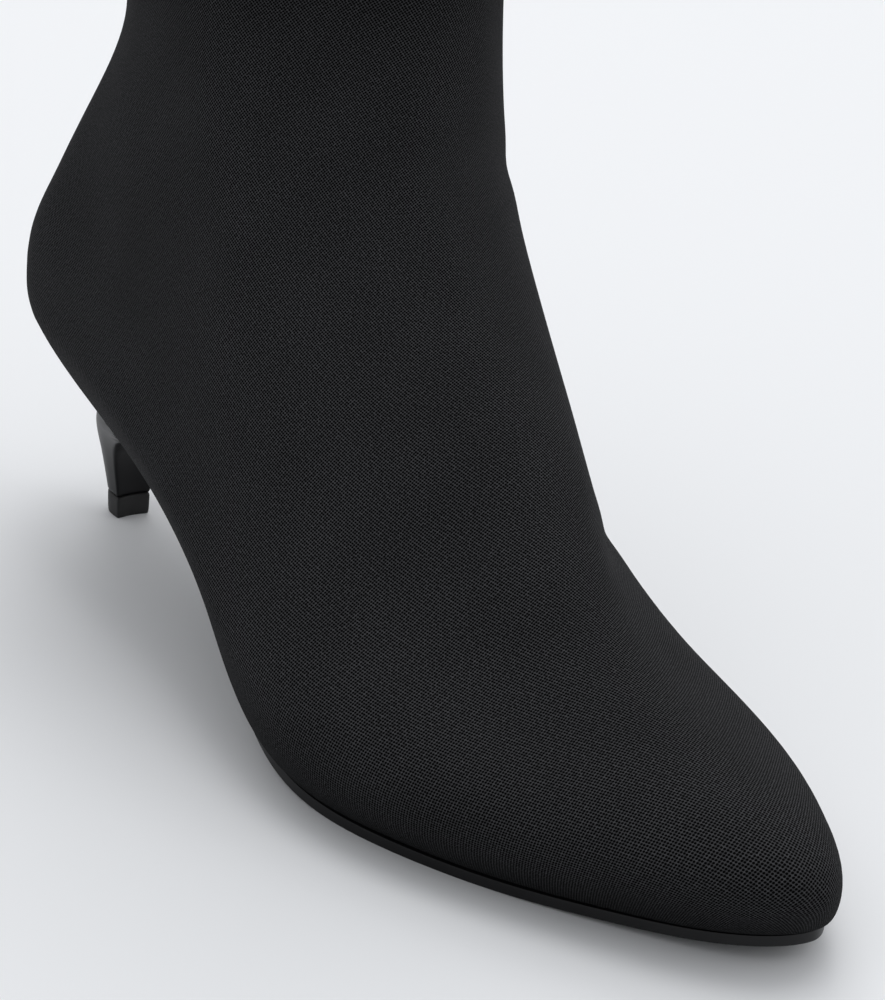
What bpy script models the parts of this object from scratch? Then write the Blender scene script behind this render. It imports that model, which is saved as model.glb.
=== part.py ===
# A sock boot for the right foot: a stretch-knit upper drawn over a slim last, a thin sole and a
# low slender heel. +X points to the toe, +Y to the inner side of the foot and +Z up. The floor is
# z = 0, and the origin is the middle of the flat face under the heel tip.
import bpy
import numpy as np
from collections import namedtuple
from math import radians

MM = 0.001

# Driving sizes, in millimetres. Places along the boot are measured from the back of the heel curve.
LENGTH = 239.0
BALL_WIDTH = 84.0
INSTEP_HEIGHT = 90.0
SEAT_HEIGHT = 31.0
SHAFT_HEIGHT = 160.0
TOE_SPRING = 5.5

# Thicknesses and clearances, in millimetres.
KNIT_WALL = 1.6
HEM_WALL = 2.4
HEM_DEPTH = 16.0
MARGIN_WIDTH = 6.0
FOLD_RADIUS = 1.2
INSOLE_THICKNESS = 2.2
SOLE_EDGE = 2.2
WAIST_SOLE = 2.0
GAP = 0.3

# The heel tip: where its breast stands along the boot, its depth, half its width, and how far it
# stands to the side of the line that the widths are measured from.
TIP_FRONT = 14.5
TIP_DEPTH = 8.6
TIP_HALF = 4.2
HEEL_SIDE = -3.8
TOP_PIECE_HEIGHT = 4.6
ORIGIN_ALONG = TIP_FRONT - TIP_DEPTH / 2.0

# How finely the forms are divided.
SIDE_COLUMNS = 32
RINGS = 31
PLANK_COLUMNS = 6
HEEL_ARC = 14

Section = namedtuple(
    "Section",
    "name back_x back_up front_x front_up heel_out heel_in waist_out waist_in"
    " ball_out ball_in toe_out toe_in swing arch heel_round",
)

# Closed sections from the feather line up to the collar. Each runs round the foot from the back of
# the heel to the front. back_x and front_x are shares of the length, back_up is the share of the
# shaft height above the seat and front_up the share of the instep height. The widths are half
# widths as shares of the ball width, at the heel, waist, ball and toe on the outer and inner side.
# swing is the share of the ball width by which the front end lies to the inner side, arch how much
# of the sole's curve the section keeps, and heel_round the share of the heel's width that is
# reached close to its back, which rounds the heel.
SECTIONS = [
    Section("feather", 0.013, 0.000, 0.982, 0.09, 0.25, 0.22, 0.345, 0.22, 0.49, 0.42, 0.24, 0.165, 0.20, 1.00, 0.84),
    Section("edge", 0.003, 0.052, 1.000, 0.205, 0.32, 0.27, 0.38, 0.31, 0.535, 0.46, 0.24, 0.195, 0.14, 0.98, 0.80),
    Section("swell", -0.011, 0.117, 0.975, 0.272, 0.395, 0.32, 0.42, 0.37, 0.53, 0.455, 0.23, 0.22, 0.105, 1.00, 0.74),
    Section("toes", -0.015, 0.187, 0.889, 0.337, 0.44, 0.34, 0.44, 0.40, 0.49, 0.43, 0.20, 0.20, 0.057, 0.87, 0.68),
    Section("vamp", -0.004, 0.274, 0.757, 0.466, 0.43, 0.34, 0.42, 0.41, 0.41, 0.39, 0.18, 0.17, 0.045, 0.52, 0.64),
    Section("throat", 0.030, 0.368, 0.640, 0.730, 0.38, 0.32, 0.39, 0.38, 0.37, 0.36, 0.18, 0.18, 0.07, 0.20, 0.62),
    Section("instep", 0.060, 0.468, 0.528, 0.995, 0.31, 0.28, 0.36, 0.355, 0.35, 0.365, 0.18, 0.18, 0.09, 0.00, 0.60),
    Section("ankle", 0.093, 0.593, 0.477, 1.31, 0.245, 0.26, 0.32, 0.36, 0.34, 0.36, 0.17, 0.18, 0.073, 0.00, 0.60),
    Section("shaft", 0.087, 0.755, 0.471, 1.68, 0.29, 0.29, 0.35, 0.38, 0.35, 0.367, 0.17, 0.18, 0.05, 0.00, 0.60),
    Section("collar", 0.062, 1.000, 0.462, 2.09, 0.34, 0.34, 0.40, 0.40, 0.38, 0.38, 0.18, 0.18, 0.02, 0.00, 0.60),
]

# Shares of a section's run from back to front where its half widths are given.
OUTER_STATIONS = [0.0, 0.05, 0.16, 0.38, 0.63, 0.92, 1.0]
INNER_STATIONS = [0.0, 0.05, 0.16, 0.42, 0.71, 0.94, 1.0]

Level = namedtuple("Level", "name along height")

# The last's bottom edge from the back of the heel to the toe, along in millimetres.
BOTTOM = [
    Level("heel back", 3.0, SEAT_HEIGHT),
    Level("seat", 26.0, SEAT_HEIGHT + 0.6),
    Level("seat front", 52.0, SEAT_HEIGHT - 1.5),
    Level("shank", 82.0, SEAT_HEIGHT * 0.72),
    Level("waist", 110.0, SEAT_HEIGHT * 0.39),
    Level("waist front", 132.0, SOLE_EDGE + GAP + 2.0),
    Level("ball back", 150.0, SOLE_EDGE + GAP),
    Level("ball front", 182.0, SOLE_EDGE + GAP),
    Level("toes", 212.0, SOLE_EDGE + GAP + TOE_SPRING * 0.32),
    Level("toe tip", 236.0, SOLE_EDGE + GAP + TOE_SPRING),
]

SoleCut = namedtuple("SoleCut", "name along proud thickness")

# How far the outsole's edge stands proud of the feather line, where less than nothing means that it
# lies inside the line, and its thickness.
SOLE_CUTS = [
    SoleCut("seat", 0.0, -2.8, WAIST_SOLE),
    SoleCut("seat front", 45.0, -3.0, WAIST_SOLE),
    SoleCut("waist", 95.0, -3.0, WAIST_SOLE),
    SoleCut("waist front", 132.0, -1.6, SOLE_EDGE),
    SoleCut("ball", 160.0, -1.0, SOLE_EDGE),
    SoleCut("toe", 238.0, -2.2, SOLE_EDGE),
]

HeelCut = namedtuple("HeelCut", "name up back front side half straight")

# D-shaped cuts through the heel from its tip up to the seat. up is the share of the height, back
# and front are places along the boot, side is where the middle of the cut lies across the boot,
# half is half the width and straight the share of the depth over which the sides run straight
# behind the breast.
HEEL_CUTS = [
    HeelCut("tip", 0.00, TIP_FRONT - TIP_DEPTH, TIP_FRONT, HEEL_SIDE, TIP_HALF, 0.34),
    HeelCut("stem", 0.22, 5.1, 15.2, -3.8, 5.2, 0.32),
    HeelCut("lower waist", 0.42, 4.8, 16.8, -3.7, 6.7, 0.30),
    HeelCut("upper waist", 0.60, 4.7, 19.6, -3.4, 8.6, 0.28),
    HeelCut("flare", 0.76, 5.0, 24.5, -2.9, 10.9, 0.26),
    HeelCut("shoulder", 0.89, 5.7, 32.0, -2.2, 13.4, 0.24),
    HeelCut("seat", 1.00, 6.8, 41.0, -1.4, 15.6, 0.22),
]
BREAST_HOLLOW = 0.8
BREAST_CORNER = 0.96


def spline(knots, values, at):
    """Natural cubic curve through the rows."""
    knots, values, at = (np.asarray(item, float) for item in (knots, values, at))
    step = np.diff(knots)
    count = len(knots)
    matrix = np.eye(count)
    right = np.zeros(count)
    for i in range(1, count - 1):
        matrix[i, i - 1:i + 2] = step[i - 1], 2.0 * (step[i - 1] + step[i]), step[i]
        right[i] = 6.0 * ((values[i + 1] - values[i]) / step[i] - (values[i] - values[i - 1]) / step[i - 1])
    bend = np.linalg.solve(matrix, right)
    k = np.clip(np.searchsorted(knots, at, side="right") - 1, 0, count - 2)
    a = (knots[k + 1] - at) / step[k]
    b = 1.0 - a
    lift = ((a ** 3 - a) * bend[k] + (b ** 3 - b) * bend[k + 1]) * step[k] ** 2 / 6.0
    return a * values[k] + b * values[k + 1] + lift


def level_curve(knots, values, at):
    """Cubic curve through the rows that never swings past them and stays flat between equal ones."""
    knots, values, at = (np.asarray(item, float) for item in (knots, values, at))
    step = np.diff(knots)
    rise = np.diff(values) / step
    slope = np.zeros(len(knots))
    for i in range(1, len(knots) - 1):
        if rise[i - 1] * rise[i] > 0.0:
            before, after = 2.0 * step[i] + step[i - 1], step[i] + 2.0 * step[i - 1]
            slope[i] = (before + after) / (before / rise[i - 1] + after / rise[i])
    slope[0] = end_slope(step[0], step[1], rise[0], rise[1])
    slope[-1] = end_slope(step[-1], step[-2], rise[-1], rise[-2])
    k = np.clip(np.searchsorted(knots, at, side="right") - 1, 0, len(step) - 1)
    t = np.clip((at - knots[k]) / step[k], 0.0, 1.0)
    start = (2.0 * t ** 3 - 3.0 * t ** 2 + 1.0) * values[k] + (t ** 3 - 2.0 * t ** 2 + t) * step[k] * slope[k]
    end = (3.0 * t ** 2 - 2.0 * t ** 3) * values[k + 1] + (t ** 3 - t ** 2) * step[k] * slope[k + 1]
    return start + end


def end_slope(step, next_step, rise, next_rise):
    """Slope of a level curve at its first or last row."""
    slope = ((2.0 * step + next_step) * rise - step * next_rise) / (step + next_step)
    if slope * rise <= 0.0:
        return 0.0
    if rise * next_rise < 0.0 and abs(slope) > 3.0 * abs(rise):
        return 3.0 * rise
    return slope


def bottom_height(along):
    """Height of the last's bottom edge at a place along the boot."""
    return level_curve([row.along for row in BOTTOM], [row.height for row in BOTTOM], along)


def half_widths(run, stations, heel_back, heel, waist, ball, toe):
    """Half widths along a section; squares are blended, which rounds the heel and the toe."""
    squares = [0.0, heel_back ** 2, heel ** 2, waist ** 2, ball ** 2, toe ** 2, 0.0]
    return BALL_WIDTH * np.sqrt(np.maximum(0.0, level_curve(stations, squares, run)))


def section_ring(row):
    """Points of one closed section, outer side first from back to front, in millimetres."""
    run = 0.5 * (1.0 - np.cos(np.pi * np.arange(SIDE_COLUMNS + 1) / SIDE_COLUMNS))
    feather = SECTIONS[0]
    back_x, front_x = row.back_x * LENGTH, row.front_x * LENGTH
    back_z = SEAT_HEIGHT + row.back_up * SHAFT_HEIGHT
    front_z = row.front_up * INSTEP_HEIGHT
    if row.name == feather.name:
        front_z = bottom_height(front_x)
    x = back_x + (front_x - back_x) * run
    edge = bottom_height(feather.back_x * LENGTH + (feather.front_x - feather.back_x) * LENGTH * run)
    sag = edge - (edge[0] + (edge[-1] - edge[0]) * run)
    z = back_z + (front_z - back_z) * run + row.arch * sag
    ease = np.clip((run - 0.4) / 0.6, 0.0, 1.0)
    middle = BALL_WIDTH * row.swing * ease * ease * (3.0 - 2.0 * ease)
    outer = half_widths(run, OUTER_STATIONS, row.heel_round * row.heel_out, row.heel_out,
                        row.waist_out, row.ball_out, row.toe_out)
    inner = half_widths(run, INNER_STATIONS, row.heel_round * row.heel_in, row.heel_in,
                        row.waist_in, row.ball_in, row.toe_in)
    near = np.stack([x, middle - outer, z], axis=1)
    far = np.stack([x, middle + inner, z], axis=1)
    return np.concatenate([near, far[::-1][1:-1]])


def blended_sections():
    """The upper's outer surface as closely spaced rings between the table's sections."""
    gaps = [0.0]
    for low, high in zip(SECTIONS[:-1], SECTIONS[1:]):
        back = np.hypot((high.back_x - low.back_x) * LENGTH, (high.back_up - low.back_up) * SHAFT_HEIGHT)
        front = np.hypot((high.front_x - low.front_x) * LENGTH, (high.front_up - low.front_up) * INSTEP_HEIGHT)
        gaps.append(gaps[-1] + 0.5 * (back + front))
    knots = np.array(gaps) / gaps[-1]
    at = np.linspace(0.0, 1.0, RINGS)
    columns = {}
    for field in Section._fields[1:]:
        blend = spline if field in ("back_x", "back_up", "front_x", "front_up") else level_curve
        columns[field] = blend(knots, [getattr(row, field) for row in SECTIONS], at)
    rows = []
    for i in range(RINGS):
        name = SECTIONS[0].name if i == 0 else "ring"
        rows.append(Section(name, *(columns[field][i] for field in Section._fields[1:])))
    return [section_ring(row) for row in rows]


def inset(outline, distance):
    """A closed outline moved inward in plan by a distance, one number or one for each point."""
    before, after = np.roll(outline, 1, axis=0), np.roll(outline, -1, axis=0)
    edge = after - before
    normal = np.stack([-edge[:, 1], edge[:, 0]], axis=1)
    normal /= np.linalg.norm(normal, axis=1)[:, None]
    moved = outline.copy()
    moved[:, :2] += normal * np.reshape(distance, (-1, 1))
    return moved


def add_object(name, mesh_parts, material):
    """A mesh object in the boot's collection, from points in millimetres and their faces."""
    points, faces = mesh_parts
    shift = np.array([ORIGIN_ALONG, HEEL_SIDE, 0.0])
    mesh = bpy.data.meshes.new(name)
    mesh.from_pydata([tuple(p) for p in (np.asarray(points) - shift) * MM], [], faces)
    mesh.materials.append(material)
    mesh.shade_smooth()
    obj = bpy.data.objects.new(name, mesh)
    boot.objects.link(obj)
    return obj


def finish(name, colour, roughness):
    """A plain surface of one colour."""
    material = bpy.data.materials.new(name)
    material.use_nodes = True
    shader = material.node_tree.nodes["Principled BSDF"]
    shader.inputs["Base Color"].default_value = (*colour, 1.0)
    shader.inputs["Roughness"].default_value = roughness
    shader.inputs["Metallic"].default_value = 0.0
    return material


def loft(rings):
    """Points and faces of a tube through closed rings with equal numbers of points."""
    around = len(rings[0])
    faces = []
    for level in range(len(rings) - 1):
        for i in range(around):
            j = (i + 1) % around
            low, high = level * around, (level + 1) * around
            faces.append((low + i, low + j, high + j, high + i))
    return np.concatenate(rings), faces


def plank(outline, first):
    """Points and faces of a sheet that fills an outline with strips from side to side."""
    half = len(outline) // 2
    points = [outline[0]]
    rows = []
    for j in range(1, half):
        near, far = outline[j], outline[-j]
        rows.append([first + len(points) + k for k in range(PLANK_COLUMNS + 1)])
        for share in np.linspace(0.0, 1.0, PLANK_COLUMNS + 1):
            points.append(near + (far - near) * share)
    tip = first + len(points)
    points.append(outline[half])
    faces = [(first, rows[0][k + 1], rows[0][k]) for k in range(PLANK_COLUMNS)]
    for low, high in zip(rows[:-1], rows[1:]):
        faces += [(low[k], low[k + 1], high[k + 1], high[k]) for k in range(PLANK_COLUMNS)]
    faces += [(tip, rows[-1][k], rows[-1][k + 1]) for k in range(PLANK_COLUMNS)]
    rim = [first] + [row[0] for row in rows] + [tip] + [row[-1] for row in rows[::-1]]
    return np.array(points), faces, rim


def slab(lower_outline, lower_height, upper_outline, upper_height):
    """A closed plate between two outlines, each lifted to its own height along the boot."""
    low, low_faces, low_rim = plank(lower_outline, 0)
    high, high_faces, high_rim = plank(upper_outline, len(low))
    low[:, 2] = lower_height(low[:, 0])
    high[:, 2] = upper_height(high[:, 0])
    side = []
    for i in range(len(low_rim)):
        j = (i + 1) % len(low_rim)
        side.append((low_rim[i], low_rim[j], high_rim[j], high_rim[i]))
    return np.concatenate([low, high]), low_faces + [f[::-1] for f in high_faces] + side


def make_upper(rings):
    """The knit sock: an open sheet from the turned-in margin to the collar, given its wall."""
    feather = rings[0]
    turned = []
    for inward in (MARGIN_WIDTH, MARGIN_WIDTH * 0.5, FOLD_RADIUS):
        ring = inset(feather, inward)
        ring[:, 2] = bottom_height(ring[:, 0])
        turned.append(ring)
    fold = feather.copy()
    fold[:, 2] += FOLD_RADIUS
    sheet = turned + [fold] + rings[1:]
    upper = add_object("upper", loft(sheet), finish("knit", (0.021, 0.022, 0.024), 0.85))
    thickness = upper.vertex_groups.new(name="wall")
    around = len(feather)
    hem_from = rings[-1][:, 2].mean() - HEM_DEPTH
    for level, ring in enumerate(sheet):
        wall = HEM_WALL if ring[:, 2].mean() > hem_from else KNIT_WALL
        thickness.add(list(range(level * around, (level + 1) * around)), wall / HEM_WALL, "REPLACE")
    wall = upper.modifiers.new("wall", "SOLIDIFY")
    wall.thickness = HEM_WALL * MM
    wall.offset = -1.0
    wall.use_even_offset = True
    wall.vertex_group = thickness.name
    return upper


def make_insole(feather):
    """The insole board with its sock lining, lying on the upper's turned-in margin."""
    outline = inset(feather, KNIT_WALL + FOLD_RADIUS + GAP)

    def underside(along):
        return bottom_height(along) + KNIT_WALL + GAP

    def topside(along):
        return underside(along) + INSOLE_THICKNESS

    lining = finish("sock_lining", (0.05, 0.05, 0.05), 0.7)
    return add_object("insole", slab(outline, underside, outline, topside), lining)


def sole_top(along):
    """Height of the outsole's upper face at a place along the boot."""
    return bottom_height(along) - GAP


def sole_underside(along):
    """Height of the outsole's lower face, which is flat on the floor under the ball."""
    thickness = level_curve([row.along for row in SOLE_CUTS], [row.thickness for row in SOLE_CUTS], along)
    return sole_top(along) - thickness


def make_outsole(feather):
    """The thin sole: tucked a little under the upper round the forefoot, and more at the waist."""
    proud = level_curve([row.along for row in SOLE_CUTS], [row.proud for row in SOLE_CUTS], feather[:, 0])
    outline = inset(feather, -proud)
    plate = slab(outline, sole_underside, outline, sole_top)
    outsole = add_object("outsole", plate, finish("sole_edge", (0.02, 0.02, 0.02), 0.5))
    edge = outsole.modifiers.new("trimmed edge", "BEVEL")
    edge.width = 0.6 * MM
    edge.segments = 2
    edge.limit_method = "ANGLE"
    edge.angle_limit = radians(50.0)
    return outsole


def d_outline(cut):
    """One D-shaped cut: round at the back, slightly hollow across the breast."""
    depth = cut.front - cut.back
    shoulder = cut.front - depth * cut.straight
    turn = np.pi * np.arange(HEEL_ARC + 1) / HEEL_ARC
    back = np.stack([shoulder - (shoulder - cut.back) * np.sin(turn), cut.half * np.cos(turn)], axis=1)
    corner = cut.half * BREAST_CORNER
    breast = [(cut.front, -corner), (cut.front - BREAST_HOLLOW, 0.0), (cut.front, corner)]
    flat = np.concatenate([back, np.array(breast)])
    return np.column_stack([flat[:, 0], flat[:, 1] + cut.side, np.zeros(len(flat))])


def d_cap(first):
    """Strips between the matching points on the two sides of a D-shaped cut, facing down."""
    middle = first + HEEL_ARC // 2
    outer = [first + HEEL_ARC + 1] + [first + i for i in range(HEEL_ARC, HEEL_ARC // 2, -1)]
    inner = [first + HEEL_ARC + 3] + [first + i for i in range(HEEL_ARC // 2)]
    faces = [(outer[0], outer[1], inner[1], inner[0], first + HEEL_ARC + 2)]
    for i in range(1, len(outer) - 1):
        faces.append((outer[i], outer[i + 1], inner[i + 1], inner[i]))
    faces.append((outer[-1], middle, inner[-1]))
    return faces


def closed_loft(rings):
    """Points and faces of a solid through D-shaped cuts, closed at both ends."""
    points, faces = loft(rings)
    top = (len(rings) - 1) * len(rings[0])
    return points, faces + d_cap(0) + [face[::-1] for face in d_cap(top)]


def make_heel():
    """The slender covered heel, from its tip up to the underside of the seat."""
    base = TOP_PIECE_HEIGHT + GAP
    rings = []
    for cut in HEEL_CUTS:
        ring = d_outline(cut)
        ring[:, 2] = base + cut.up * (sole_underside(ring[:, 0]) - GAP - base)
        rings.append(ring)
    heel = add_object("heel", closed_loft(rings), finish("heel_cover", (0.012, 0.012, 0.013), 0.25))
    heel.data.set_sharp_from_angle(angle=radians(45.0))
    return heel


def make_top_piece():
    """The rubber tip under the heel, with its flat wearing face on the floor."""
    rings = []
    for height, proud in ((0.0, 0.1), (0.5, 0.3), (TOP_PIECE_HEIGHT, 0.3)):
        tip = HEEL_CUTS[0]._replace(
            back=TIP_FRONT - TIP_DEPTH - proud, front=TIP_FRONT + proud, half=TIP_HALF + proud)
        ring = d_outline(tip)
        ring[:, 2] = height
        rings.append(ring)
    top_piece = add_object("top_piece", closed_loft(rings), finish("tip_rubber", (0.015, 0.015, 0.015), 0.6))
    top_piece.data.set_sharp_from_angle(angle=radians(45.0))
    return top_piece


for old in list(bpy.data.objects):
    bpy.data.objects.remove(old, do_unlink=True)
boot = bpy.data.collections.new("sock_boot")
bpy.context.scene.collection.children.link(boot)

last_rings = blended_sections()
make_upper(last_rings)
make_insole(last_rings[0])
make_outsole(last_rings[0])
make_heel()
make_top_piece()
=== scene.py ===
from math import cos, exp, radians, sin

import bpy
from mathutils import Matrix, Vector


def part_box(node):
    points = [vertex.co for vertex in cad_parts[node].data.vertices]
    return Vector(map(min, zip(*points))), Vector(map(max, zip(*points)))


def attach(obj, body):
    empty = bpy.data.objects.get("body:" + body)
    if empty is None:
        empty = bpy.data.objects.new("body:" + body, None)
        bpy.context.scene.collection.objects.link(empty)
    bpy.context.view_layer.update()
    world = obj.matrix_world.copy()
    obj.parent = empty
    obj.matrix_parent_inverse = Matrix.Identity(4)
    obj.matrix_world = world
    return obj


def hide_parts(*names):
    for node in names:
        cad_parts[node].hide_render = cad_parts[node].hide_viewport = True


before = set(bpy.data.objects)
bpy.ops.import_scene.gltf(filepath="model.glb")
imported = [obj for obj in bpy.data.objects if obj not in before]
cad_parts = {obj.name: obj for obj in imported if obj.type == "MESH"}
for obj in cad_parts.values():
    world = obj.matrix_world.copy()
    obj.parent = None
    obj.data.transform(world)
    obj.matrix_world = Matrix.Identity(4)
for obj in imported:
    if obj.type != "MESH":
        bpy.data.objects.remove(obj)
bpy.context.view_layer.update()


# The studio: a pale floor, a white surround that is brightest overhead, and three large soft boxes,
# one above and two behind the boot, so the right side of the shaft and vamp catches the light and the
# sole's side stays dark.
bpy.ops.object.select_all(action="DESELECT")
bpy.ops.mesh.primitive_plane_add(size=9.0, location=(0.1, 0.0, 0.0))
studio_floor = bpy.context.active_object
studio_floor.name = "studio_floor"
paper = bpy.data.materials.new("floor_paper")
paper.use_nodes = True
paper.node_tree.nodes["Principled BSDF"].inputs["Base Color"].default_value = (0.86, 0.87, 0.885, 1.0)
paper.node_tree.nodes["Principled BSDF"].inputs["Roughness"].default_value = 0.75
studio_floor.data.materials.append(paper)

surround = bpy.data.worlds.new("surround")
bpy.context.scene.world = surround
surround.use_nodes = True
sky = surround.node_tree.nodes["Background"]
sky.inputs["Color"].default_value = (0.97, 0.98, 1.0, 1.0)
sky_place = surround.node_tree.nodes.new("ShaderNodeTexCoord")
sky_height = surround.node_tree.nodes.new("ShaderNodeVectorMath")
sky_height.operation = "DOT_PRODUCT"
sky_height.inputs[1].default_value = (-0.10, 0.14, 0.98)
sky_fall = surround.node_tree.nodes.new("ShaderNodeMapRange")
sky_fall.inputs["From Min"].default_value = 0.0
sky_fall.inputs["From Max"].default_value = 0.8
sky_fall.inputs["To Min"].default_value = 0.42
sky_fall.inputs["To Max"].default_value = 0.88
surround.node_tree.links.new(sky_place.outputs["Generated"], sky_height.inputs[0])
surround.node_tree.links.new(sky_height.outputs["Value"], sky_fall.inputs["Value"])
surround.node_tree.links.new(sky_fall.outputs["Result"], sky.inputs["Strength"])
bpy.context.scene.view_settings.view_transform = "Standard"


def soft_box(name, place, aim, size, power):
    """A square studio lamp that stands at a place and faces a point."""
    lamp = bpy.data.lights.new(name, "AREA")
    lamp.shape = "SQUARE"
    lamp.size = size
    lamp.energy = power
    stand = bpy.data.objects.new(name, lamp)
    stand.location = place
    stand.rotation_euler = (Vector(place) - Vector(aim)).to_track_quat("Z", "Y").to_euler()
    bpy.context.scene.collection.objects.link(stand)


soft_box("box_above", (0.08, 0.3, 3.4), (0.12, 0.0, 0.04), 1.5, 17.5)
soft_box("box_right", (2.4, 2.4, 2.1), (0.12, 0.0, 0.06), 1.8, 8.0)
soft_box("box_back", (-1.65, 0.9, 2.2), (0.1, 0.0, 0.02), 1.4, 11.0)


# The camera stands in front of the outer side, higher than the boot, and is rolled a little, as the
# photograph is. Its frame is 885 by 1000, and the top edge of the frame cuts the shaft.
AIM = Vector((0.1228, 0.0038, 0.0487))
AZIMUTH, ELEVATION, ROLL = radians(55.76), radians(23.8), radians(4.42)
back = Vector((sin(AZIMUTH) * cos(ELEVATION), -cos(AZIMUTH) * cos(ELEVATION), sin(ELEVATION)))
eye = bpy.data.cameras.new("photo_camera")
eye.sensor_width = 36.0
eye.lens = 2942.0 / 1000.0 * 36.0
eye.shift_x = 0.0009
eye.shift_y = 0.0127
eye.clip_start = 0.01
camera = bpy.data.objects.new("photo_camera", eye)
bpy.context.scene.collection.objects.link(camera)
turn = back.to_track_quat("Z", "Y").to_matrix().to_4x4() @ Matrix.Rotation(ROLL, 4, "Z")
camera.matrix_world = Matrix.Translation(AIM + back * 0.561) @ turn
bpy.context.scene.camera = camera


# The upper: one piece of fine stretch knit, bonded to a thin lining and pulled over the last, with
# its lower margin turned under and cemented between insole and sole. Tension keeps it smooth, so it
# has only soft troughs across the front of the ankle and where the instep meets the vamp.
def traced_from(node, name):
    """A new piece with a solid's own surface, its split corners joined and its triangles paired."""
    piece = bpy.data.objects.new(name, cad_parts[node].data.copy())
    bpy.context.scene.collection.objects.link(piece)
    bpy.ops.object.select_all(action="DESELECT")
    piece.select_set(True)
    bpy.context.view_layer.objects.active = piece
    piece.data.materials.clear()
    bpy.ops.mesh.customdata_custom_splitnormals_clear()
    bpy.ops.object.mode_set(mode="EDIT")
    bpy.ops.mesh.select_all(action="SELECT")
    bpy.ops.mesh.remove_doubles(threshold=0.00002)
    bpy.ops.mesh.tris_convert_to_quads(face_threshold=radians(60.0), shape_threshold=radians(60.0))
    bpy.ops.mesh.normals_make_consistent(inside=False)
    bpy.ops.object.mode_set(mode="OBJECT")
    return piece


def rounded_off(piece, levels):
    """Subdivides a piece into a smooth surface."""
    rounding = piece.modifiers.new("rounding", "SUBSURF")
    rounding.levels = levels
    rounding.render_levels = levels
    bpy.context.view_layer.objects.active = piece
    bpy.ops.object.modifier_apply(modifier=rounding.name)
    bpy.ops.object.shade_smooth()


knit_upper = traced_from("upper", "knit_upper")
back_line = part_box("upper")[0][0] + 0.03
bpy.ops.object.mode_set(mode="EDIT")
bpy.ops.mesh.select_all(action="DESELECT")
bpy.ops.mesh.select_mode(type="EDGE")
bpy.ops.mesh.edges_select_sharp(sharpness=radians(55.0))
bpy.ops.object.mode_set(mode="OBJECT")
points = knit_upper.data.vertices
for edge in knit_upper.data.edges:
    a, b = (points[i].co for i in edge.vertices)
    if max(abs(a.y - 0.0038), abs(b.y - 0.0038)) < 0.0015 and max(a.x, b.x) < back_line:
        edge.select = True
bpy.ops.object.mode_set(mode="EDIT")
bpy.ops.mesh.mark_seam(clear=False)
bpy.ops.mesh.select_all(action="SELECT")
bpy.ops.uv.unwrap(method="MINIMUM_STRETCH", margin=0.01)
bpy.ops.object.mode_set(mode="OBJECT")
rounded_off(knit_upper, 2)

# Troughs across the front of the ankle and over the start of the vamp, each with a low ridge on
# either side. A fold has its middle on the front line, the direction across it, its half width,
# its depth and how far it runs round the foot, in metres.
FOLDS = [
    ((0.0880, 0.0360, 0.1040), (-0.28, -0.06, 0.96), 0.0036, 0.0005, 0.026),
    ((0.1040, 0.0060, 0.1120), (-0.25, 0.00, 0.97), 0.0060, 0.0007, 0.026),
    ((0.1370, 0.0340, 0.0445), (-0.36, -0.39, 0.85), 0.0034, 0.0006, 0.022),
    ((0.1480, 0.0140, 0.0570), (-0.80, 0.10, 0.60), 0.0060, 0.0006, 0.024),
    ((0.0300, -0.0300, 0.1180), (-0.55, 0.00, 0.83), 0.0090, 0.0004, 0.030),
    ((0.0140, 0.0040, 0.1080), (0.35, 0.00, 0.94), 0.0080, 0.0005, 0.026),
]
folded = []
for spot in knit_upper.data.vertices:
    place = spot.co.copy()
    inner_face = spot.normal.dot(Vector((0.055, 0.004, place.z)) - place) > 0.0
    depth_here = 0.0
    for middle, across, half_width, depth, run in FOLDS:
        crossing = Vector(across).normalized()
        away = place - Vector(middle)
        step = away.dot(crossing) / half_width
        side = (away - crossing * step * half_width).length / run
        ridge = 0.15 * exp(-(abs(step) - 1.9) ** 2) - exp(-step * step)
        depth_here += depth * exp(-side * side) * ridge
    folded.append(place + spot.normal * (-depth_here if inner_face else depth_here))
knit_upper.data.vertices.foreach_set("co", [length for place in folded for length in place])
knit_upper.data.update()

# The unwrapped knit is turned upright on the shaft's outer side and given its real size, so that one
# unit of its map is a metre of fabric.
panels = knit_upper.data
chart = panels.uv_layers.active
chart.name = "knit"
in_space, in_chart = 0.0, 0.0
upright = Vector((0.0, 0.0))
for panel in panels.polygons:
    corners = [chart.data[i].uv.copy() for i in panel.loop_indices]
    spot = [points_at.co for points_at in (panels.vertices[i] for i in panel.vertices)]
    doubled = sum(corners[i - 1].cross(corners[i]) for i in range(len(corners)))
    in_space += panel.area
    in_chart += abs(doubled) / 2.0
    if panel.normal.y < -0.9 and panel.center.z > 0.12:
        along, rise = corners[2] - corners[0], spot[2].z - spot[0].z
        across, fall = corners[3 % len(corners)] - corners[1], spot[3 % len(spot)].z - spot[1].z
        upright += along * rise + across * fall
scale = (in_space / in_chart) ** 0.5
lean = upright.normalized()
for loop in chart.data:
    loop.uv = (scale * (loop.uv.x * lean.y - loop.uv.y * lean.x), scale * loop.uv.dot(lean))

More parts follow.
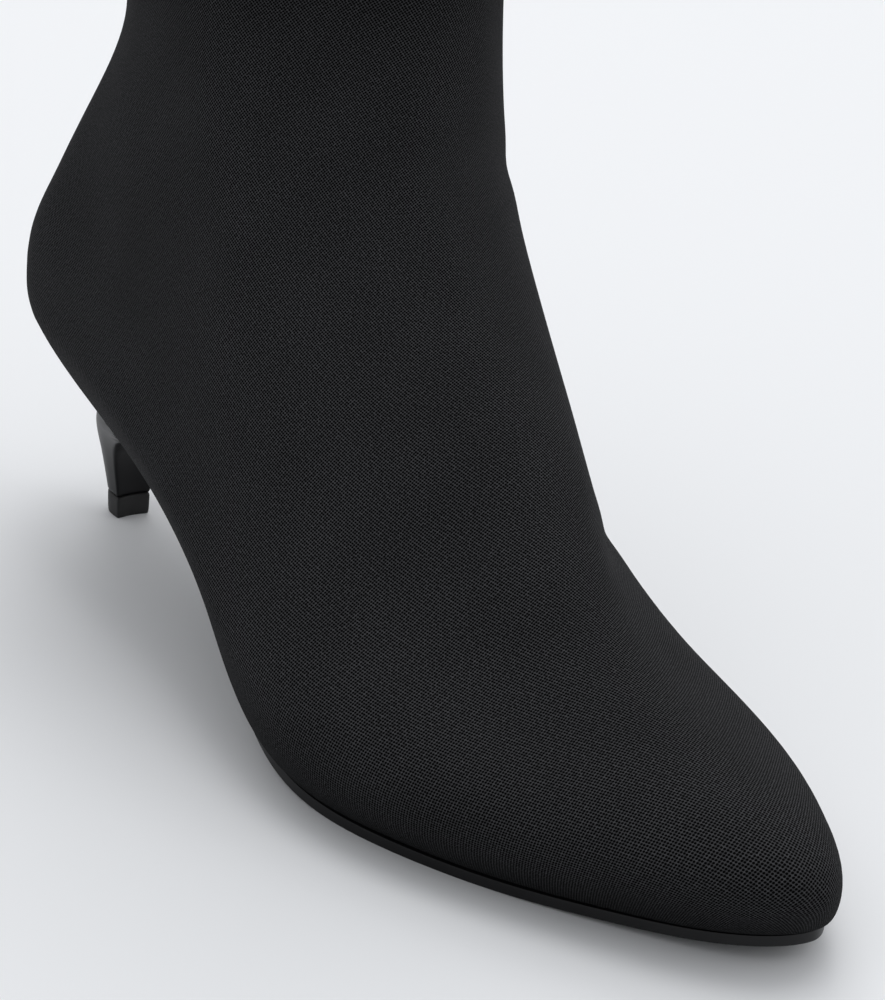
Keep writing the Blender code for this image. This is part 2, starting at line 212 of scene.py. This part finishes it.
knit = bpy.data.materials.new("stretch_knit")
knit.use_nodes = True
nodes, links = knit.node_tree.nodes, knit.node_tree.links
yarn = nodes["Principled BSDF"]
yarn.inputs["Roughness"].default_value = 0.78
yarn.inputs["Specular IOR Level"].default_value = 0.03
PITCH = 0.00057
chart_node = nodes.new("ShaderNodeUVMap")
chart_node.uv_map = "knit"
grid = nodes.new("ShaderNodeMapping")
grid.inputs["Rotation"].default_value = (0.0, 0.0, radians(80.0))
grid.inputs["Scale"].default_value = (1.0 / PITCH, 1.0 / (PITCH * 0.88), 1.0)
links.new(chart_node.outputs["UV"], grid.inputs["Vector"])
holes = nodes.new("ShaderNodeTexVoronoi")
holes.voronoi_dimensions = "2D"
holes.inputs["Scale"].default_value = 1.0
holes.inputs["Randomness"].default_value = 0.12
links.new(grid.outputs["Vector"], holes.inputs["Vector"])
loops = nodes.new("ShaderNodeMapRange")
loops.interpolation_type = "SMOOTHSTEP"
loops.inputs["From Min"].default_value = 0.3
loops.inputs["From Max"].default_value = 0.48
links.new(holes.outputs["Distance"], loops.inputs["Value"])
chart_slow = nodes.new("ShaderNodeTexNoise")
chart_slow.inputs["Scale"].default_value = 55.0
chart_slow.inputs["Detail"].default_value = 3.0
links.new(chart_node.outputs["UV"], chart_slow.inputs["Vector"])
heather = nodes.new("ShaderNodeTexNoise")
heather.inputs["Scale"].default_value = 1400.0
heather.inputs["Detail"].default_value = 2.0
links.new(chart_node.outputs["UV"], heather.inputs["Vector"])
shade = nodes.new("ShaderNodeMix")
shade.data_type = "RGBA"
shade.inputs["A"].default_value = (0.0004, 0.0004, 0.0005, 1.0)
shade.inputs["B"].default_value = (0.048, 0.0485, 0.0512, 1.0)
links.new(loops.outputs["Result"], shade.inputs["Factor"])
cloud = nodes.new("ShaderNodeMapRange")
cloud.inputs["From Min"].default_value = 0.35
cloud.inputs["From Max"].default_value = 0.65
cloud.inputs["To Min"].default_value = 0.93
cloud.inputs["To Max"].default_value = 1.06
links.new(chart_slow.outputs["Fac"], cloud.inputs["Value"])
speck = nodes.new("ShaderNodeMapRange")
speck.inputs["From Min"].default_value = 0.3
speck.inputs["From Max"].default_value = 0.7
speck.inputs["To Min"].default_value = 0.7
speck.inputs["To Max"].default_value = 1.3
links.new(heather.outputs["Fac"], speck.inputs["Value"])
knit_place = nodes.new("ShaderNodeTexCoord")
place_parts = nodes.new("ShaderNodeSeparateXYZ")
links.new(knit_place.outputs["Object"], place_parts.inputs["Vector"])
# Painted shade: the knit's colour falls to half towards the sole, over its lowest 26 mm, standing in
# for the dim light close to the floor.
margin = nodes.new("ShaderNodeMapRange")
margin.interpolation_type = "SMOOTHSTEP"
margin.inputs["From Min"].default_value = 0.004
margin.inputs["From Max"].default_value = 0.026
margin.inputs["To Min"].default_value = 0.5
margin.inputs["To Max"].default_value = 1.0
links.new(place_parts.outputs["Z"], margin.inputs["Value"])
# Painted shade: above 11 cm the knit's colour darkens to two thirds at 15 cm, standing in for the
# weaker light that reaches the top of the shaft.
painted_shaft_shade = nodes.new("ShaderNodeMapRange")
painted_shaft_shade.interpolation_type = "SMOOTHSTEP"
painted_shaft_shade.inputs["From Min"].default_value = 0.11
painted_shaft_shade.inputs["From Max"].default_value = 0.15
painted_shaft_shade.inputs["To Min"].default_value = 1.0
painted_shaft_shade.inputs["To Max"].default_value = 0.66
links.new(place_parts.outputs["Z"], painted_shaft_shade.inputs["Value"])
# Painted shade: both height darkenings are multiplied together, then with the random cloud and speck,
# and scale the knit's dyed colour.
painted_height_shade = nodes.new("ShaderNodeMath")
painted_height_shade.operation = "MULTIPLY"
links.new(margin.outputs["Result"], painted_height_shade.inputs[0])
links.new(painted_shaft_shade.outputs["Result"], painted_height_shade.inputs[1])
cloud_and_painted_shade = nodes.new("ShaderNodeMath")
cloud_and_painted_shade.operation = "MULTIPLY"
links.new(cloud.outputs["Result"], cloud_and_painted_shade.inputs[0])
links.new(painted_height_shade.outputs["Value"], cloud_and_painted_shade.inputs[1])
tone_and_painted_shade = nodes.new("ShaderNodeMath")
tone_and_painted_shade.operation = "MULTIPLY"
links.new(cloud_and_painted_shade.outputs["Value"], tone_and_painted_shade.inputs[0])
links.new(speck.outputs["Result"], tone_and_painted_shade.inputs[1])
dye_and_painted_shade = nodes.new("ShaderNodeVectorMath")
dye_and_painted_shade.operation = "SCALE"
links.new(shade.outputs["Result"], dye_and_painted_shade.inputs["Vector"])
links.new(tone_and_painted_shade.outputs["Value"], dye_and_painted_shade.inputs["Scale"])
# Two rows of fine twin-needle stitches hold the turned hem, a little above its lower edge.
STITCH_ROWS = (0.1777, 0.1800)
stitches = None
for row in STITCH_ROWS:
    off_row = nodes.new("ShaderNodeMath")
    off_row.operation = "SUBTRACT"
    off_row.inputs[1].default_value = row
    links.new(place_parts.outputs["Z"], off_row.inputs[0])
    from_row = nodes.new("ShaderNodeMath")
    from_row.operation = "ABSOLUTE"
    links.new(off_row.outputs["Value"], from_row.inputs[0])
    thread = nodes.new("ShaderNodeMapRange")
    thread.inputs["From Min"].default_value = 0.00042
    thread.inputs["From Max"].default_value = 0.00022
    links.new(from_row.outputs["Value"], thread.inputs["Value"])
    if stitches is None:
        stitches = thread.outputs["Result"]
    else:
        both = nodes.new("ShaderNodeMath")
        both.operation = "MAXIMUM"
        links.new(stitches, both.inputs[0])
        links.new(thread.outputs["Result"], both.inputs[1])
        stitches = both.outputs["Value"]
dashes = nodes.new("ShaderNodeTexWave")
dashes.bands_direction = "X"
dashes.inputs["Scale"].default_value = 130.0
links.new(chart_node.outputs["UV"], dashes.inputs["Vector"])
dash = nodes.new("ShaderNodeMapRange")
dash.inputs["From Min"].default_value = 0.2
dash.inputs["From Max"].default_value = 0.4
links.new(dashes.outputs["Fac"], dash.inputs["Value"])
stitch = nodes.new("ShaderNodeMath")
stitch.operation = "MULTIPLY"
links.new(stitches, stitch.inputs[0])
links.new(dash.outputs["Result"], stitch.inputs[1])
raised = nodes.new("ShaderNodeMath")
raised.operation = "MULTIPLY_ADD"
raised.inputs[1].default_value = 2.0
links.new(stitch.outputs["Value"], raised.inputs[0])
links.new(loops.outputs["Result"], raised.inputs[2])
relief = nodes.new("ShaderNodeBump")
relief.inputs["Strength"].default_value = 0.8
relief.inputs["Distance"].default_value = 0.0002
links.new(raised.outputs["Value"], relief.inputs["Height"])
links.new(relief.outputs["Normal"], yarn.inputs["Normal"])
threaded = nodes.new("ShaderNodeMix")
threaded.data_type = "RGBA"
threaded.inputs["B"].default_value = (0.03, 0.03, 0.032, 1.0)
links.new(stitch.outputs["Value"], threaded.inputs["Factor"])
links.new(dye_and_painted_shade.outputs["Vector"], threaded.inputs["A"])
links.new(threaded.outputs["Result"], yarn.inputs["Base Color"])
knit_upper.data.materials.append(knit)

lining = bpy.data.materials.new("thin_lining")
lining.use_nodes = True
nodes, links = lining.node_tree.nodes, lining.node_tree.links
jersey = nodes["Principled BSDF"]
jersey.inputs["Roughness"].default_value = 0.9
jersey.inputs["Specular IOR Level"].default_value = 0.2
lining_chart = nodes.new("ShaderNodeUVMap")
lining_chart.uv_map = "knit"
ribs = nodes.new("ShaderNodeTexWave")
ribs.bands_direction = "X"
ribs.inputs["Scale"].default_value = 320.0
ribs.inputs["Distortion"].default_value = 0.6
ribs.inputs["Detail"].default_value = 1.0
links.new(lining_chart.outputs["UV"], ribs.inputs["Vector"])
rib_tone = nodes.new("ShaderNodeMix")
rib_tone.data_type = "RGBA"
rib_tone.inputs["A"].default_value = (0.014, 0.014, 0.015, 1.0)
rib_tone.inputs["B"].default_value = (0.034, 0.034, 0.036, 1.0)
links.new(ribs.outputs["Fac"], rib_tone.inputs["Factor"])
links.new(rib_tone.outputs["Result"], jersey.inputs["Base Color"])
rib_relief = nodes.new("ShaderNodeBump")
rib_relief.inputs["Strength"].default_value = 0.5
rib_relief.inputs["Distance"].default_value = 0.00015
links.new(ribs.outputs["Fac"], rib_relief.inputs["Height"])
links.new(rib_relief.outputs["Normal"], jersey.inputs["Normal"])
knit_upper.data.materials.append(lining)
# Faces that look towards the middle of the foot carry the lining, and all others the knit.
ANKLE_HEIGHT = 0.07
foot_middles = [
    Vector((0.055, 0.004, 0.19)),
    Vector((0.055, 0.004, ANKLE_HEIGHT)),
    Vector((0.13, 0.006, 0.022)),
    Vector((0.2, 0.012, 0.02)),
]
for panel in panels.polygons:
    nearest = min(foot_middles, key=lambda middle: (middle - panel.center).length)
    if panel.center.z > ANKLE_HEIGHT:
        nearest = Vector((0.055, 0.004, panel.center.z))
    panel.material_index = 1 if panel.normal.dot(nearest - panel.center) > 0.0 else 0
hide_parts("upper")
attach(knit_upper, "root")


# The insole: a thin board under a smooth sock lining, laid on the turned-in margin inside the boot.
insole = traced_from("insole", "sock_lining")
bpy.ops.object.shade_smooth_by_angle(angle=radians(40.0))
sock = bpy.data.materials.new("sock_leather")
sock.use_nodes = True
nodes, links = sock.node_tree.nodes, sock.node_tree.links
sock_face = nodes["Principled BSDF"]
sock_place = nodes.new("ShaderNodeTexCoord")
sock_grain = nodes.new("ShaderNodeTexVoronoi")
sock_grain.inputs["Scale"].default_value = 900.0
links.new(sock_place.outputs["Object"], sock_grain.inputs["Vector"])
sock_cloud = nodes.new("ShaderNodeTexNoise")
sock_cloud.inputs["Scale"].default_value = 40.0
links.new(sock_place.outputs["Object"], sock_cloud.inputs["Vector"])
sock_tone = nodes.new("ShaderNodeMix")
sock_tone.data_type = "RGBA"
sock_tone.inputs["A"].default_value = (0.03, 0.03, 0.031, 1.0)
sock_tone.inputs["B"].default_value = (0.065, 0.064, 0.063, 1.0)
links.new(sock_cloud.outputs["Fac"], sock_tone.inputs["Factor"])
links.new(sock_tone.outputs["Result"], sock_face.inputs["Base Color"])
sock_face.inputs["Roughness"].default_value = 0.6
sock_relief = nodes.new("ShaderNodeBump")
sock_relief.inputs["Strength"].default_value = 0.35
sock_relief.inputs["Distance"].default_value = 0.0001
links.new(sock_grain.outputs["Distance"], sock_relief.inputs["Height"])
links.new(sock_relief.outputs["Normal"], sock_face.inputs["Normal"])
insole.data.materials.append(sock)
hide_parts("insole")
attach(insole, "root")


# The sole: a thin black plate, tucked a little under the upper round the forefoot and more at the
# waist, with a waxed and burnished edge. It is cemented under the turned-in margin, and its tread is
# finely ribbed across the forefoot.
sole_plate = traced_from("outsole", "sole_plate")
rounded_off(sole_plate, 2)
bpy.ops.object.shade_smooth_by_angle(angle=radians(50.0))
wax = bpy.data.materials.new("sole_wax")
wax.use_nodes = True
nodes, links = wax.node_tree.nodes, wax.node_tree.links
edge_wax = nodes["Principled BSDF"]
edge_wax.inputs["Specular IOR Level"].default_value = 0.25
sole_place = nodes.new("ShaderNodeTexCoord")
sole_parts = nodes.new("ShaderNodeSeparateXYZ")
links.new(sole_place.outputs["Object"], sole_parts.inputs["Vector"])
rub = nodes.new("ShaderNodeTexNoise")
rub.inputs["Scale"].default_value = 160.0
rub.inputs["Detail"].default_value = 5.0
links.new(sole_place.outputs["Object"], rub.inputs["Vector"])
rub_tone = nodes.new("ShaderNodeMix")
rub_tone.data_type = "RGBA"
rub_tone.inputs["A"].default_value = (0.006, 0.006, 0.0065, 1.0)
rub_tone.inputs["B"].default_value = (0.013, 0.013, 0.014, 1.0)
links.new(rub.outputs["Fac"], rub_tone.inputs["Factor"])
links.new(rub_tone.outputs["Result"], edge_wax.inputs["Base Color"])
rub_gloss = nodes.new("ShaderNodeMapRange")
rub_gloss.inputs["To Min"].default_value = 0.3
rub_gloss.inputs["To Max"].default_value = 0.55
links.new(rub.outputs["Fac"], rub_gloss.inputs["Value"])
links.new(rub_gloss.outputs["Result"], edge_wax.inputs["Roughness"])
tread = nodes.new("ShaderNodeTexWave")
tread.bands_direction = "X"
tread.inputs["Scale"].default_value = 110.0
links.new(sole_place.outputs["Object"], tread.inputs["Vector"])
facing = nodes.new("ShaderNodeNewGeometry")
facing_parts = nodes.new("ShaderNodeSeparateXYZ")
links.new(facing.outputs["Normal"], facing_parts.inputs["Vector"])
under = nodes.new("ShaderNodeMapRange")
under.inputs["From Min"].default_value = -0.95
under.inputs["From Max"].default_value = -0.99
links.new(facing_parts.outputs["Z"], under.inputs["Value"])
forefoot = nodes.new("ShaderNodeMapRange")
forefoot.inputs["From Min"].default_value = 0.118
forefoot.inputs["From Max"].default_value = 0.122
links.new(sole_parts.outputs["X"], forefoot.inputs["Value"])
tread_area = nodes.new("ShaderNodeMath")
tread_area.operation = "MULTIPLY"
links.new(under.outputs["Result"], tread_area.inputs[0])
links.new(forefoot.outputs["Result"], tread_area.inputs[1])
tread_height = nodes.new("ShaderNodeMath")
tread_height.operation = "MULTIPLY"
links.new(tread.outputs["Fac"], tread_height.inputs[0])
links.new(tread_area.outputs["Value"], tread_height.inputs[1])
tread_relief = nodes.new("ShaderNodeBump")
tread_relief.inputs["Strength"].default_value = 0.9
tread_relief.inputs["Distance"].default_value = 0.0004
links.new(tread_height.outputs["Value"], tread_relief.inputs["Height"])
fine_relief = nodes.new("ShaderNodeBump")
fine_relief.inputs["Strength"].default_value = 0.25
fine_relief.inputs["Distance"].default_value = 0.0001
links.new(rub.outputs["Fac"], fine_relief.inputs["Height"])
links.new(tread_relief.outputs["Normal"], fine_relief.inputs["Normal"])
links.new(fine_relief.outputs["Normal"], edge_wax.inputs["Normal"])
sole_plate.data.materials.append(wax)
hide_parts("outsole")
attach(sole_plate, "root")


# The heel: a moulded block, low and slender, wrapped in smooth black leather with a gloss finish.
# It is flat across its breast and round at the back, and is screwed on from inside the seat.
def kept_edges(piece, angle, firmness):
    """Holds a piece's sharp edges, so that subdividing only rounds them a little."""
    bpy.context.view_layer.objects.active = piece
    bpy.ops.object.mode_set(mode="EDIT")
    bpy.ops.mesh.select_mode(type="EDGE")
    bpy.ops.mesh.select_all(action="DESELECT")
    bpy.ops.mesh.edges_select_sharp(sharpness=angle)
    bpy.ops.transform.edge_crease(value=firmness)
    bpy.ops.object.mode_set(mode="OBJECT")


heel_block = traced_from("heel", "heel_block")
kept_edges(heel_block, radians(48.0), 0.8)
rounded_off(heel_block, 3)
# The cover swells a little just under the seat, so that it meets the upper without a step.
COVER_SWELL = 0.0007
COVER_MIDDLE = Vector((0.020, -0.002, 0.0))
for spot in heel_block.data.vertices:
    rise = min(max((spot.co.z - 0.016) / 0.010, 0.0), 1.0)
    outward = Vector((spot.co.x, spot.co.y, 0.0)) - COVER_MIDDLE
    if outward.x < 0.0:
        spot.co += outward.normalized() * COVER_SWELL * rise
cover = bpy.data.materials.new("heel_gloss")
cover.use_nodes = True
nodes, links = cover.node_tree.nodes, cover.node_tree.links
gloss = nodes["Principled BSDF"]
gloss.inputs["Specular IOR Level"].default_value = 0.16
heel_place = nodes.new("ShaderNodeTexCoord")
pores = nodes.new("ShaderNodeTexVoronoi")
pores.inputs["Scale"].default_value = 1500.0
links.new(heel_place.outputs["Object"], pores.inputs["Vector"])
smear = nodes.new("ShaderNodeTexNoise")
smear.inputs["Scale"].default_value = 90.0
smear.inputs["Detail"].default_value = 4.0
links.new(heel_place.outputs["Object"], smear.inputs["Vector"])
smear_tone = nodes.new("ShaderNodeMix")
smear_tone.data_type = "RGBA"
smear_tone.inputs["A"].default_value = (0.005, 0.005, 0.0055, 1.0)
smear_tone.inputs["B"].default_value = (0.009, 0.009, 0.010, 1.0)
links.new(smear.outputs["Fac"], smear_tone.inputs["Factor"])
links.new(smear_tone.outputs["Result"], gloss.inputs["Base Color"])
smear_gloss = nodes.new("ShaderNodeMapRange")
smear_gloss.inputs["To Min"].default_value = 0.34
smear_gloss.inputs["To Max"].default_value = 0.46
links.new(smear.outputs["Fac"], smear_gloss.inputs["Value"])
links.new(smear_gloss.outputs["Result"], gloss.inputs["Roughness"])
pore_relief = nodes.new("ShaderNodeBump")
pore_relief.inputs["Strength"].default_value = 0.12
pore_relief.inputs["Distance"].default_value = 0.00005
links.new(pores.outputs["Distance"], pore_relief.inputs["Height"])
links.new(pore_relief.outputs["Normal"], gloss.inputs["Normal"])
heel_block.data.materials.append(cover)
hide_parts("heel")
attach(heel_block, "root")


# The top piece: the rubber tip that wears on the ground, pressed onto the end of the heel.
heel_tip = traced_from("top_piece", "heel_tip")
kept_edges(heel_tip, radians(48.0), 0.5)
rounded_off(heel_tip, 3)
# The tip is trimmed flush with the cover and drawn up against it.
TIP_MIDDLE = (0.0102, -0.0038)
TIP_LIFT = 0.0004
tip_low, tip_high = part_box("top_piece")
for spot in heel_tip.data.vertices:
    rise = (spot.co.z - tip_low[2]) / (tip_high[2] - tip_low[2])
    trim = 0.95 - 0.02 * (1.0 - rise)
    spot.co.x = TIP_MIDDLE[0] + (spot.co.x - TIP_MIDDLE[0]) * trim
    spot.co.y = TIP_MIDDLE[1] + (spot.co.y - TIP_MIDDLE[1]) * trim
    spot.co.z += TIP_LIFT * max(0.0, rise)
rubber = bpy.data.materials.new("tip_rubber")
rubber.use_nodes = True
nodes, links = rubber.node_tree.nodes, rubber.node_tree.links
tip_face = nodes["Principled BSDF"]
tip_place = nodes.new("ShaderNodeTexCoord")
crumb = nodes.new("ShaderNodeTexNoise")
crumb.inputs["Scale"].default_value = 1200.0
crumb.inputs["Detail"].default_value = 3.0
links.new(tip_place.outputs["Object"], crumb.inputs["Vector"])
crumb_tone = nodes.new("ShaderNodeMix")
crumb_tone.data_type = "RGBA"
crumb_tone.inputs["A"].default_value = (0.006, 0.006, 0.006, 1.0)
crumb_tone.inputs["B"].default_value = (0.011, 0.011, 0.0115, 1.0)
links.new(crumb.outputs["Fac"], crumb_tone.inputs["Factor"])
links.new(crumb_tone.outputs["Result"], tip_face.inputs["Base Color"])
tip_face.inputs["Roughness"].default_value = 0.62
crumb_relief = nodes.new("ShaderNodeBump")
crumb_relief.inputs["Strength"].default_value = 0.3
crumb_relief.inputs["Distance"].default_value = 0.0001
links.new(crumb.outputs["Fac"], crumb_relief.inputs["Height"])
links.new(crumb_relief.outputs["Normal"], tip_face.inputs["Normal"])
heel_tip.data.materials.append(rubber)
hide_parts("top_piece")
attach(heel_tip, "root")
